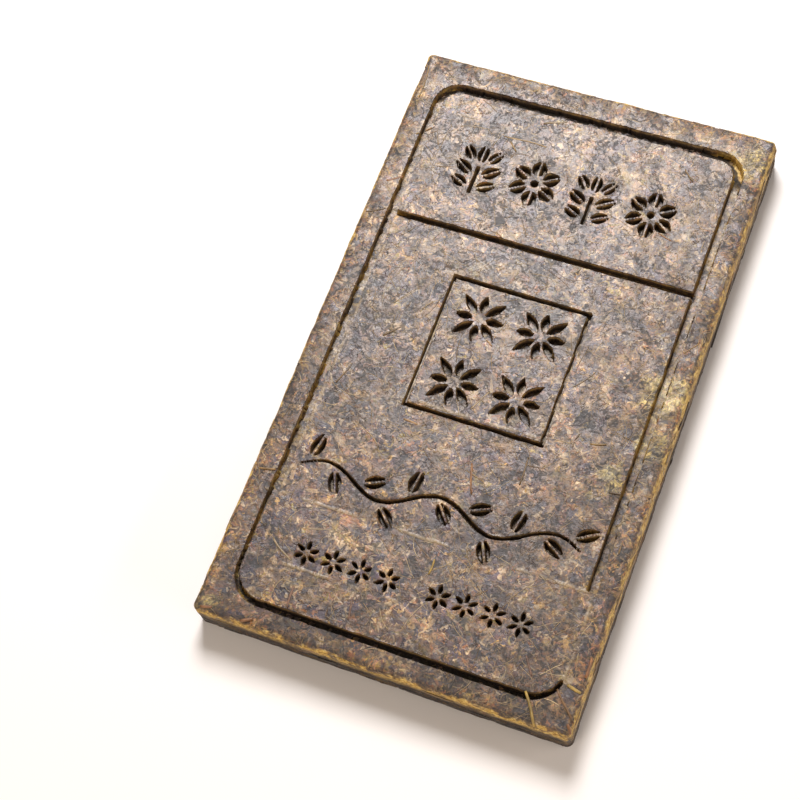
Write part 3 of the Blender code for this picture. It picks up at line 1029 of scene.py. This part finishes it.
def scatter_leaves(name, surface, field, step, seed, size, turn, lift, material):
    """Leaves spread over a surface; size gives the usual length and width, turn the widest angle."""
    rng = np.random.default_rng(seed)
    centres = seats(*field, step, rng)
    lengths = size[0] * rng.lognormal(0, LEAF_SPREAD[0], len(centres))
    widths = size[1] * rng.lognormal(0, LEAF_SPREAD[1], len(centres))
    angles = rng.uniform(-turn, turn, len(centres))
    return leaf_pieces(name, surface, centres, lengths, widths, angles, material, rng, lift)


def scatter_strands(name, surface, field, count, seed, size, turn, material, shape):
    """Fibres or stalks spread over a surface; size gives the usual length and width."""
    rng = np.random.default_rng(seed)
    starts = rng.uniform(np.array(field[0]) + 1, np.array(field[1]) - 1, (count, 2))
    headings = rng.uniform(-turn, turn, count) + math.pi * rng.integers(0, 2, count)
    lengths = size[0] * rng.lognormal(0, STRAND_SPREAD[0], count)
    widths = size[1] * rng.lognormal(0, STRAND_SPREAD[1], count)
    return strands(name, surface, starts, headings, lengths, widths, material, rng, **shape)


def laid_stalks(material):
    """The larger stalks, each on its own place and partly sunk."""
    rng = np.random.default_rng(21)
    starts, ends, widths, tones = (np.array(column) for column in zip(*LAID_STALKS))
    runs = ends - starts
    headings = np.arctan2(runs[:, 1], runs[:, 0])
    lengths = np.hypot(*runs.T)
    shape = dict(LAID, tints=tones)
    return strands("laid_stalks", level_surface, starts, headings, lengths, widths, material, rng, **shape)


def olive_leaves(material):
    """The few broad olive leaves."""
    rng = np.random.default_rng(22)
    centres, lengths, widths, angles = (np.array(column) for column in zip(*OLIVE_LEAVES))
    shape = (centres, lengths, widths, np.radians(angles))
    tints = [OLIVE] * len(centres)
    return leaf_pieces("olive_leaves", face_surface, *shape, material, rng, OLIVE_LIFT, tints)


# ---- Materials ----


class Wire:
    """A number, vector or colour in a material's nodes, for use with the usual signs."""

    def __init__(self, finish, socket):
        self.finish = finish
        self.socket = socket

    def __add__(self, other):
        return self.finish.join("ADD", self, other)

    def __sub__(self, other):
        return self.finish.join("SUBTRACT", self, other)

    def __rsub__(self, other):
        return self.finish.join("SUBTRACT", other, self)

    def __mul__(self, other):
        return self.finish.join("MULTIPLY", self, other)

    def __abs__(self):
        return self.finish.join("ABSOLUTE", self)

    def many(self):
        """Whether it carries three numbers rather than one."""
        return self.socket.type != "VALUE"


class Finish:
    """A material being built, with short calls for its nodes."""

    def __init__(self, name, specular):
        self.material = bpy.data.materials.new(name)
        self.material.use_nodes = True
        self.tree = self.material.node_tree
        self.shader = self.tree.nodes["Principled BSDF"]
        self.shader.inputs["Specular IOR Level"].default_value = specular

    def add(self, kind, inputs, output=0, **settings):
        """One output of a new node, or all of them for None; its inputs are set or linked."""
        node = self.tree.nodes.new("ShaderNode" + kind)
        for name, value in settings.items():
            setattr(node, name, value)
        for name, value in inputs.items():
            if isinstance(value, Wire):
                self.tree.links.new(value.socket, node.inputs[name])
            else:
                node.inputs[name].default_value = value
        if output is None:
            return [Wire(self, socket) for socket in node.outputs]
        return Wire(self, node.outputs[output])

    def join(self, operation, *values, output=0):
        """The result of an operation on numbers, or on vectors where one of the values is a vector."""
        kind = "Math"
        if any(isinstance(value, tuple) or isinstance(value, Wire) and value.many() for value in values):
            kind = "VectorMath"
            values = [value if isinstance(value, (tuple, Wire)) else (value,) * 3 for value in values]
        return self.add(kind, dict(enumerate(values)), output, operation=operation)

    def largest(self, *values):
        """The largest of some numbers."""
        return functools.reduce(functools.partial(self.join, "MAXIMUM"), values)

    def between(self, value, low, high, first=0.0, last=1.0):
        """A number carried smoothly from one range to another."""
        inputs = {0: value, 1: low, 2: high, 3: first, 4: last}
        return self.add("MapRange", inputs, interpolation_type="SMOOTHSTEP")

    def mix(self, share, first, last):
        """Two numbers, vectors or colours mixed."""
        if first.many():
            return self.add("Mix", {0: share, 4: first, 5: last}, 1, data_type="VECTOR")
        return self.add("Mix", {0: share, 2: first, 3: last}, data_type="FLOAT")

    def noise(self, place, size, detail, roughness, stretch, seed, output):
        """An output of the noise node, its lumps about this size in millimetres."""
        if stretch:
            place = place * stretch
        if seed:
            place = place + (seed, 2.3 * seed, 3.1 * seed)
        inputs = {"Vector": place, "Scale": 1.0 / size, "Detail": detail, "Roughness": roughness}
        return self.add("TexNoise", inputs, output)

    def cloud(self, place, size, detail=2.0, roughness=0.5, stretch=None, seed=0.0):
        """Noise from 0 to 1."""
        return self.noise(place, size, detail, roughness, stretch, seed, 0)

    def strayed(self, vector, place, reach, size, detail=2.0, roughness=0.5, seed=0.0):
        """A vector moved at random by up to half this reach either way."""
        return vector + (self.noise(place, size, detail, roughness, None, seed, 1) - 0.5) * reach

    def spun(self, vector, angle):
        """A vector turned about the Z axis."""
        return self.add("VectorRotate", {"Vector": vector, "Angle": angle}, rotation_type="Z_AXIS")

    def parts(self, vector):
        """The three numbers of a vector."""
        return self.add("SeparateXYZ", {0: vector}, None)

    def length(self, vector):
        """The length of a vector."""
        return self.join("LENGTH", vector, output="Value")

    def attribute(self, name, output="Fac"):
        """A number or vector kept with each point of the mesh."""
        return self.add("Attribute", {}, output, attribute_name=name)

    def ramp(self, value, stops, interpolation="LINEAR"):
        """A colour picked by a number."""
        colour = self.add("ValToRGB", {"Fac": value})
        band = colour.socket.node.color_ramp
        band.interpolation = interpolation
        while len(band.elements) < len(stops):
            band.elements.new(1.0)
        for element, (position, tone) in zip(band.elements, stops):
            element.position = position
            element.color = (*tone, 1.0)
        return colour

    def place(self):
        """The point of the surface in millimetres."""
        return self.add("TexCoord", {}, "Object") * (1 / MM)

    def finish(self, colour, roughness, height):
        """Puts colour, roughness and a height in millimetres on the shader."""
        bump = self.add("Bump", {"Height": height, "Distance": MM, "Strength": 1.0})
        for name, value in (("Base Color", colour), ("Roughness", roughness), ("Normal", bump)):
            self.tree.links.new(value.socket, self.shader.inputs[name])
        return self.material


def leaf_patches(f, place, size, turn, stretch, seed):
    """A mosaic of leaves: each one's chance number, place inside it, height and distance to its edge."""
    bent = f.strayed(place, place, size * 1.5, size * 1.1, seed=seed)
    drawn = f.spun(bent, turn) * (1 / stretch, 1.0, 2.6)
    inputs = {"Vector": drawn, "Scale": 1.0 / size}
    _, random, middle, *_ = f.add("TexVoronoi", inputs, None)
    edge = f.add("TexVoronoi", inputs, feature="DISTANCE_TO_EDGE") * size
    angle, tint, _ = f.add("SeparateColor", {"Color": random}, None)
    inside = f.spun(drawn - middle, angle * 2.4)
    slope = f.join("DOT_PRODUCT", inside, random - 0.5, output="Value")
    return tint, inside, slope * 0.11, edge


def fibre_lines(f, place, size, width, seed):
    """Thin curved lines, broken into lengths: 1 on a fibre and 0 off it."""
    away = abs(f.cloud(place, size, 1.2, 0.4, seed=seed) - 0.5)
    line = f.between(away, width / size * 0.35, width / size * 0.9, 1.0, 0.0)
    return line * f.between(f.cloud(place, size * 0.5, 1.0, seed=seed + 9.0), 0.55, 0.6)


def splinters(f, place, size, turn, seed):
    """Small splinters of leaf that lie about one way: two chance numbers for each, and its height."""
    bent = f.strayed(place, place, 14.0, 8.0, seed=seed)
    drawn = f.spun(bent, turn) * (0.3, 1.0, 2.0)
    random = f.add("TexVoronoi", {"Vector": drawn, "Scale": 1.0 / size}, "Color")
    return f.add("SeparateColor", {"Color": random}, None)


def all_over(f, place):
    """What every leaf shares: grain, wrinkles, stains, shade, fine pale fibres and how matt it is."""
    grain = f.cloud(place, 0.7, 2.0, 0.6, seed=7.0)
    wide = f.cloud(place, 44.0, 3.0, seed=61.0)
    wrinkle = f.cloud(place, 4.0, 3.0, 0.55, seed=19.0)
    blotch = f.cloud(place, 10.0, 3.0, 0.6, seed=119.0)
    crumb = f.cloud(place, 3.0, 3.0, 0.65, seed=103.0)
    stain = f.ramp(f.cloud(place, 8.0, 4.0, 0.7, seed=33.0), STAIN_COLOURS)
    shade = f.between(grain, 0.3, 0.7, 0.8, 1.2) * f.between(wide, 0.35, 0.65, 0.82, 1.18)
    shade *= f.between(wrinkle, 0.35, 0.65, 0.7, 1.3) * f.between(blotch, 0.38, 0.62, 0.68, 1.32)
    shade *= f.between(crumb, 0.36, 0.44, 0.35, 1.0)
    matt = f.between(crumb, 0.36, 0.42, 0.1, 0.0) + f.between(blotch, 0.38, 0.62, 0.04, -0.04)
    fibre = f.largest(*(fibre_lines(f, place, *layer) for layer in FIBRE_LINES))
    return grain, wrinkle, stain, shade, fibre, matt


def edge_wear(f, place):
    """From 0 to 1: how worn and golden the edges are, how tanned the face, and painted shade: the sides
    darker toward their foot and a darker strip along the near end.
    """
    x, y, z = f.parts(place)
    inside = f.join("MINIMUM", WIDTH / 2 - abs(x), LENGTH / 2 - abs(y))
    patch = f.cloud(place, 7.0, 3.0, 0.6, seed=83.0)
    uneven = (patch - 0.5) * 5.0
    right_side = f.between(x, 80.0, 84.0)
    height = z + right_side * 6.0
    worn = f.between(inside + uneven, 0.3, 1.4, 1.0, 0.0) * f.between(height + uneven, 9.0, 17.0)
    worn *= f.between(f.cloud(place, 5.0, 3.0, 0.6, seed=87.0), 0.4, 0.5, 0.35, 1.0)
    worn *= 1 - right_side * 0.22
    on_face = f.between(z, 14.0, 17.0)
    warm = f.between(x, 20.0, 85.0, 0.0, 0.8) * f.between(y, 55.0, 75.0, 1.0, 0.4)
    tanned = f.largest(f.between(inside, 3.0, 12.0, 1.0, 0.0), warm)
    tanned *= on_face * f.between(patch, 0.40, 0.54)
    # Painted shade: the sides darken toward their foot, less on the right side
    dark = f.between(inside, 0.6, 1.4, 1.0, 0.0) * f.between(height, 7.0, 18.0, 0.98, 0.0)
    # Painted shade: a darker strip along the near end of the face
    near_strip_shade = f.between(y, -136.5, -133.0, 0.3, 0.0) * on_face
    return worn, tanned, f.largest(dark, near_strip_shade * (1 - worn))


def olive_spots(f, place):
    """How olive the leaves are, from 0 to 1, in ragged spots of the face."""
    bent = f.strayed(place, place, (24.0, 24.0, 0.0), 9.0, 4.0, 0.65, seed=113.0)
    spots = []
    for (x, y), reach in OLIVE_SPOTS:
        away = f.length(bent - (x, y, THICKNESS))
        spots.append(f.between(away, reach * 0.6, reach, 1.0, 0.0))
    return f.largest(*spots)


def mould_marks(f, place):
    """The faint raised lines that joints of the mould left on the face: 1 on a line and 0 off it."""
    x, y, z = f.parts(f.strayed(place, place, (1.6, 1.6, 0.0), 12.0, 3.0, seed=97.0))
    lines = []
    for (left, bottom), (right, top) in MOULD_LINES:
        level = bottom == top
        off = abs(y - bottom if level else x - left)
        start, end = (left, right) if level else (bottom, top)
        middle = abs((x if level else y) - (start + end) / 2)
        reach = (end - start) / 2
        lines.append(f.between(off, 0.2, 1.1, 1.0, 0.0) * f.between(middle, reach - 3.0, reach, 1.0, 0.0))
    broken = f.between(f.cloud(place, 9.0, seed=67.0), 0.4, 0.55)
    return f.between(z, 15.0, 16.0) * f.largest(*lines) * broken


def pressed(f, place, colour, height, shade):
    """Adds to a leaf's own colour, relief and shade what all leaves share; gives a roughness too."""
    grain, wrinkle, stain, common, fibre, matt = all_over(f, place)
    worn, tanned, dark = edge_wear(f, place)
    mottle = f.cloud(place, 1.8, 4.0, 0.7, stretch=(1.0, 1.0, 2.5), seed=23.0)
    mark = mould_marks(f, place)
    olive = olive_spots(f, place) * 0.5
    bunch = f.between(f.cloud(place, 16.0, seed=141.0), 0.4, 0.6, -0.08, 0.08)
    colour = f.mix(0.5, colour, stain)
    for layer in SPLINTERS:
        pick, tone, raised = splinters(f, place, *layer)
        pick += bunch
        hollow = f.between(pick, 0.07, 0.10, 1.0, 0.0)
        pale = f.between(pick, 0.90, 0.92, 0.0, 0.7)
        shade *= 1 - hollow * 0.65
        matt = f.largest(matt, hollow * 0.15)
        colour = f.mix(tanned * 0.5, colour, f.ramp(tone, TAN_COLOURS, "CONSTANT"))
        colour = f.mix(olive, colour, f.ramp(tone, OLIVE_COLOURS, "CONSTANT"))
        colour = f.mix(pale, colour, f.ramp(tone, SPLINTER_COLOURS, "CONSTANT"))
        height += raised * 0.04
    colour *= shade * common
    for line in (fibre, mark):
        colour = f.mix(line * 0.55, colour, FIBRE_TONE)
    # dark is the painted shade of the sides' foot and the near strip
    colour = f.mix(worn * 0.9, colour, f.ramp(mottle, GOLD_COLOURS)) * (1 - dark)
    height += grain * 0.02 + wrinkle * 0.26 + fibre * 0.04 + mark * 0.09
    matt += f.largest(dark * 0.5, worn * 0.3, tanned * 0.15)
    return colour, height, f.between(grain, 0.3, 0.7, 0.40, 0.50) + matt


def leaf_mosaic(f, place):
    """The body's own leaves, large ones, others that lie another way, and crumbs, with cracks between."""
    layers = [leaf_patches(f, place, *layer) for layer in (LARGE_LEAVES, OTHER_LEAVES, SMALL_LEAVES)]
    first = f.between(f.cloud(place, 9.0, 3.0, 0.6, seed=41.0), 0.49, 0.51)
    second = f.between(f.cloud(place, 4.5, 3.0, 0.65, seed=53.0), 0.53, 0.55)
    tint, inside, height, edge = (
        f.mix(second, f.mix(first, large, other), small) for large, other, small in zip(*layers)
    )
    streak = f.cloud(inside, 1.0, 3.0, 0.6, stretch=(0.22, 1.8, 1.0))
    crack = f.between(edge, 0.03, 0.3, 1.0, 0.0) * f.between(f.cloud(place, 5.0, seed=91.0), 0.5, 0.64)
    shade = f.between(streak, 0.25, 0.75, 0.65, 1.35) * f.between(crack, 0.0, 1.0, 1.0, 0.6)
    height = height + streak * 0.07 - crack * 0.05
    return pressed(f, place, f.ramp(tint, LEAF_COLOURS, "CONSTANT"), height, shade)


def corner_bend(f, place):
    """The frame line's corner: its inner part, dark with painted shade, and its crumbled outer part, golden
    as painted light, from 0 to 1.
    """
    away = place - (FRAME_RIGHT - FRAME_TOP_RADIUS, FRAME_TOP - FRAME_TOP_RADIUS, 0.0)
    ragged = (f.cloud(place, 3.0, 3.0, seed=127.0) - 0.5) * 3.0
    radius = f.length(away * (1.0, 1.0, 0.0)) + ragged
    x, y, z = f.parts(away)
    across = f.between(x, 2.0, 6.0)
    outer = f.between(radius, 10.2, 11.2) * f.between(radius, 13.2, 14.2, 1.0, 0.0)
    outer *= across * f.between(y, 0.5, 3.5) * f.between(z, 10.0, 12.0)
    return across * f.between(y, -4.0, 1.0), outer


def painted_lit_lips(f, place, patch):
    """Where the carving's walls are painted golden as if lit, from 0 to 1: painted highlights on their lips,
    the lines at the sides and one corner.
    """
    x, y, z = f.parts(place)
    corner = f.between(f.length(place - PAINTED_LIT_CORNER), 9.0, 15.0, 0.9, 0.0)
    lip = f.between(z, 18.0, 19.3) * f.between(f.cloud(place, 5.0, 3.0, seed=38.0), 0.36, 0.5)
    lip = f.largest(lip, f.between(abs(x), 62.0, 67.0, 0.0, 0.8) * patch, corner)
    return lip * f.between(abs(x), 79.0, 81.0, 1.0, 0.0) * f.between(abs(y), 139.0, 141.0, 1.0, 0.0)


def body_material():
    """Pressed leaf all over, with painted shade on the cut walls, painted golden highlights on their lips,
    and carved floors mottled and darkened with painted shade.
    """
    f = Finish("pressed_leaf_body", 1.0)
    place = f.place()
    colour, height, roughness = leaf_mosaic(f, place)
    x, y, z = f.parts(place)
    carved = f.attribute("carved")
    steep = f.attribute("steep")
    upright = f.cloud(place, 1.0, 3.0, 0.6, stretch=(2.2, 2.2, 0.3), seed=13.0)
    patch = f.between(f.cloud(place, 8.0, 3.0, seed=37.0), 0.46, 0.58)
    gold = f.ramp(f.cloud(place, 3.0, 4.0, 0.65, seed=29.0), GOLD_COLOURS)
    # The walls' colour: near-black painted shade, with painted golden highlights on the lips
    bright = f.ramp(f.cloud(place, 2.2, 3.0, 0.65, stretch=(1.0, 1.0, 0.6), seed=43.0), LIP_COLOURS)
    wall = f.mix(painted_lit_lips(f, place, patch) * 0.9, f.ramp(upright, WALL_SHADE_COLOURS), bright)

    bend, outer = corner_bend(f, place)
    # Painted shadow: the floors of the frame's top and bottom lines and the corner's inner part are darkened
    shadowed = f.largest(f.between(abs(y + 1.2), 121.0, 126.0), bend) * (1 - outer)
    # Painted shade in patches on the carved floors, which also gives them a mottled texture
    floor_shade_chips = f.between(f.cloud(place, 2.0, 3.0, 0.65, seed=139.0), 0.4, 0.6, 0.6, 0.0)
    colour = f.mix(carved * 0.3, colour, gold)
    colour *= (1 - carved * floor_shade_chips) * (1 - carved * shadowed * 0.85)
    # Painted light: the corner's outer part golden as if lit
    colour = f.mix(outer * 0.85, colour, gold)
    # Painted shade: the reverse's slopes and the lower sides take the near-black wall colour, with golden
    # patches
    slope = f.between(z, 8.5, 10.0, 0.6, 0.0) * f.between(steep, 0.1, 0.3)
    colour = f.mix(slope, colour, f.mix(patch * 0.4, wall, gold))
    # Painted shade: steep faces in the carving and below mid-height take the near-black wall colour
    cut = f.largest(carved, f.between(z, 9.0, 12.0, 0.75, 0.0))
    colour = f.mix(f.between(steep, 0.25, 0.7, 0.0, 0.95) * cut, colour, wall)
    roughness += f.largest(steep, outer, carved * shadowed * 2.0) * 0.2
    height = height * f.between(carved, 0.0, 1.0, 1.0, 0.5) + upright * steep * 0.3
    return f.finish(colour, roughness, height)


def leaf_material():
    """A single pressed leaf: streaks and veins along it, its colour by chance."""
    f = Finish("pressed_leaf_scale", 1.0)
    place = f.place()
    local = f.strayed(f.attribute("local", "Vector"), place, (1.6, 1.6, 0.0), 3.0)
    streak = f.cloud(local, 1.0, 3.0, 0.6, stretch=(0.3, 1.9, 1.0))
    shade = f.between(streak, 0.25, 0.75, 0.65, 1.35) * f.between(f.attribute("outer"), 0.8, 1.0, 1.0, 0.92)
    colour = f.ramp(f.attribute("tint"), LEAF_COLOURS, "CONSTANT")
    colour, height, roughness = pressed(f, place, colour, streak * 0.07, shade)
    return f.finish(colour, roughness, height)


def strand_material(name, stops, interpolation="LINEAR"):
    """Fibre or stalk: fine streaks along it, its colour by chance."""
    f = Finish(name, 0.9)
    place = f.place()
    streak = f.cloud(f.attribute("local", "Vector"), 1.0, 3.0, 0.6, stretch=(0.3, 2.4, 1.0))
    mottle = f.cloud(place, 3.0, 3.0, 0.6, seed=27.0)
    shade = f.between(streak, 0.25, 0.75, 0.6, 1.35) * f.between(mottle, 0.3, 0.7, 0.6, 1.3)
    # The same painted shade of the sides' foot and the near strip darkens the strands
    dark = edge_wear(f, place)[2]
    colour = f.ramp(f.attribute("tint"), stops, interpolation) * (shade * (1 - dark))
    return f.finish(colour, f.between(mottle, 0.3, 0.7, 0.45, 0.55), streak * 0.06)


def floor_material():
    """The matt, pale studio floor."""
    f = Finish("pale_floor", 0.2)
    f.shader.inputs["Base Color"].default_value = FLOOR_TONE
    f.shader.inputs["Roughness"].default_value = 0.8
    return f.material


# ---- The stage ----


def camera():
    """The photograph's view: from above the brick's near right corner, turned about its own axis."""
    data = bpy.data.cameras.new("camera")
    data.lens = CAMERA_LENS
    data.sensor_width = CAMERA_SENSOR
    eye = bpy.data.objects.new("camera", data)
    flat = math.cos(CAMERA_ELEVATION)
    back = Vector((
        flat * math.sin(CAMERA_AZIMUTH),
        -flat * math.cos(CAMERA_AZIMUTH),
        math.sin(CAMERA_ELEVATION),
    ))
    turn = back.to_track_quat("Z", "Y").to_matrix() @ Matrix.Rotation(CAMERA_ROLL, 3, "Z")
    eye.matrix_world = Matrix.Translation(CAMERA_AIM + back * CAMERA_DISTANCE) @ turn.to_4x4()
    bpy.context.scene.collection.objects.link(eye)
    bpy.context.scene.camera = eye


def area_light(name, place, aim, size, power, colour):
    """A soft rectangular light."""
    data = bpy.data.lights.new(name, "AREA")
    data.shape = "RECTANGLE"
    data.size, data.size_y = size
    data.energy = power
    data.color = colour
    lamp = bpy.data.objects.new(name, data)
    lamp.location = place
    lamp.rotation_euler = (Vector(aim) - Vector(place)).to_track_quat("-Z", "Y").to_euler()
    bpy.context.scene.collection.objects.link(lamp)


def stage():
    """A pale floor and soft studio light."""
    bpy.ops.mesh.primitive_plane_add(size=FLOOR_SIZE)
    floor = bpy.context.object
    floor.name = "floor"
    floor.data.materials.append(floor_material())
    for light in LIGHTS:
        area_light(*light)
    world = bpy.data.worlds.new("studio")
    bpy.context.scene.world = world
    world.use_nodes = True
    background = world.node_tree.nodes["Background"]
    background.inputs["Color"].default_value = WORLD_COLOUR
    background.inputs["Strength"].default_value = WORLD_STRENGTH
    bpy.context.scene.view_settings.view_transform = "Standard"


# ---- The pieces ----

AROUND = 2 * (WIDTH + LENGTH) - 8 * CORNER_RADIUS + 2 * math.pi * CORNER_RADIUS
PLAN = ((-WIDTH / 2, -LENGTH / 2), (WIDTH / 2, LENGTH / 2))
SIDE_BAND = ((0, 1), (AROUND, THICKNESS - 1))
STALK_BAND = ((0, 1.5), (AROUND, THICKNESS - 1.5))
ALL_WAYS = math.pi

leaf = leaf_material()
fibre = strand_material("leaf_fibre", FIBRE_COLOURS)
stalk = strand_material("leaf_stalk", STALK_COLOURS)
stout = dict(STIFF, sides=7)
# Leaves: name, surface, field, spacing, seed, usual length and width, turn and lift
LEAVES = (
    ("face_leaves", face_surface, PLAN, 4.0, 1, (10.0, 2.3), ALL_WAYS, 0.04),
    ("reverse_leaves", reverse_surface, PLAN, 3.9, 2, (8.0, 2.1), ALL_WAYS, 0.07),
    ("side_leaves", side_surface, SIDE_BAND, 3.4, 3, (9.0, 1.5), 0.12, 0.1),
)
# Strands: name, surface, field, how many, seed, usual length and width, turn, material and shape
STRANDS = (
    ("face_fibres", face_surface, PLAN, 1300, 4, (10.0, 0.22), ALL_WAYS, fibre, LITHE),
    ("reverse_fibres", reverse_surface, PLAN, 1500, 5, (8.0, 0.4), ALL_WAYS, fibre, LITHE),
    ("face_stalks", face_surface, PLAN, 26, 6, (10.0, 0.7), ALL_WAYS, stalk, stout),
    ("reverse_stalks", reverse_surface, PLAN, 130, 7, (11.0, 0.9), ALL_WAYS, stalk, stout),
    ("side_stalks", side_surface, STALK_BAND, 260, 8, (9.0, 0.9), 0.15, stalk, dict(STIFF, sides=6)),
)
pieces = [pressed_body(body_material())]
pieces += [scatter_leaves(*row, leaf) for row in LEAVES]
pieces += [scatter_strands(*row) for row in STRANDS]
pieces.append(laid_stalks(strand_material("laid_stalk", LAID_COLOURS, "CONSTANT")))
pieces.append(olive_leaves(leaf))
for piece in pieces:
    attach(piece, "root")
    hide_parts(NODE)
camera()
stage()
